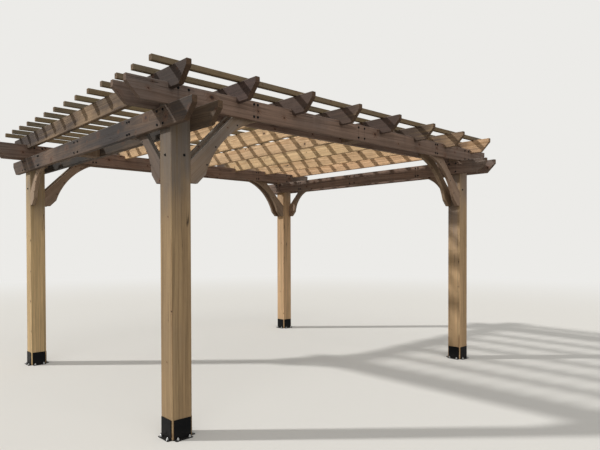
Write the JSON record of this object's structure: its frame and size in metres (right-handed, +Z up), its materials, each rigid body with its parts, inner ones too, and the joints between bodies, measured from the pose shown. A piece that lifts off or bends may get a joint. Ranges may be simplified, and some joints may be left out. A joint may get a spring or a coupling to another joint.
{
  "type": "wooden pergola",
  "caption": "Freestanding timber pergola with an open slatted roof: posts in steel shoes, paired beams, curved knee braces, notched rafters and purlins.",
  "frame": {"origin": "on the ground, in the middle of the four posts", "axes": "+X along the long side, to the right seen from the front; +Y to the back; +Z up"},
  "size_m": [4.4, 3.8, 2.498],
  "materials": {
    "post_timber": "planed cedar, weathered tan",
    "beam_timber": "planed cedar, weathered grey-brown",
    "brace_timber": "planed cedar, weathered grey-brown",
    "block_timber": "planed cedar",
    "rafter_timber": "planed cedar, golden tan",
    "purlin_timber": "planed cedar, weathered",
    "shoe_steel": "black powder coat, satin"
  },
  "bodies": {
    "root": {"long_brace_back_left_inner": "brace_timber", "long_brace_back_left_outer": "brace_timber", "long_brace_back_right_inner": "brace_timber", "long_brace_back_right_outer": "brace_timber", "long_brace_front_left_inner": "brace_timber", "long_brace_front_left_outer": "brace_timber", "long_brace_front_right_inner": "brace_timber", "long_brace_front_right_outer": "brace_timber", "lower_beam_left_inner": "beam_timber", "lower_beam_left_outer": "beam_timber", "lower_beam_right_inner": "beam_timber", "lower_beam_right_outer": "beam_timber", "post_back_left": "post_timber", "post_back_right": "post_timber", "post_bases": "shoe_steel", "post_front_left": "post_timber", "post_front_right": "post_timber", "purlin_01": "purlin_timber", "purlin_02": "purlin_timber", "purlin_03": "purlin_timber", "purlin_04": "purlin_timber", "purlin_05": "purlin_timber", "purlin_06": "purlin_timber", "purlin_07": "purlin_timber", "purlin_08": "purlin_timber", "purlin_09": "purlin_timber", "purlin_10": "purlin_timber", "purlin_11": "purlin_timber", "purlin_12": "purlin_timber", "purlin_13": "purlin_timber", "purlin_14": "purlin_timber", "rafter_1": "rafter_timber", "rafter_2": "rafter_timber", "rafter_3": "rafter_timber", "rafter_4": "rafter_timber", "rafter_5": "rafter_timber", "rafter_6": "rafter_timber", "rafter_7": "rafter_timber", "rafter_8": "rafter_timber", "short_brace_back_left": "brace_timber", "short_brace_back_right": "brace_timber", "short_brace_front_left": "brace_timber", "short_brace_front_right": "brace_timber", "spacer_blocks": "block_timber", "upper_beam_back_inner": "beam_timber", "upper_beam_back_outer": "beam_timber", "upper_beam_front_inner": "beam_timber", "upper_beam_front_outer": "beam_timber"}
  },
  "joints": []
}
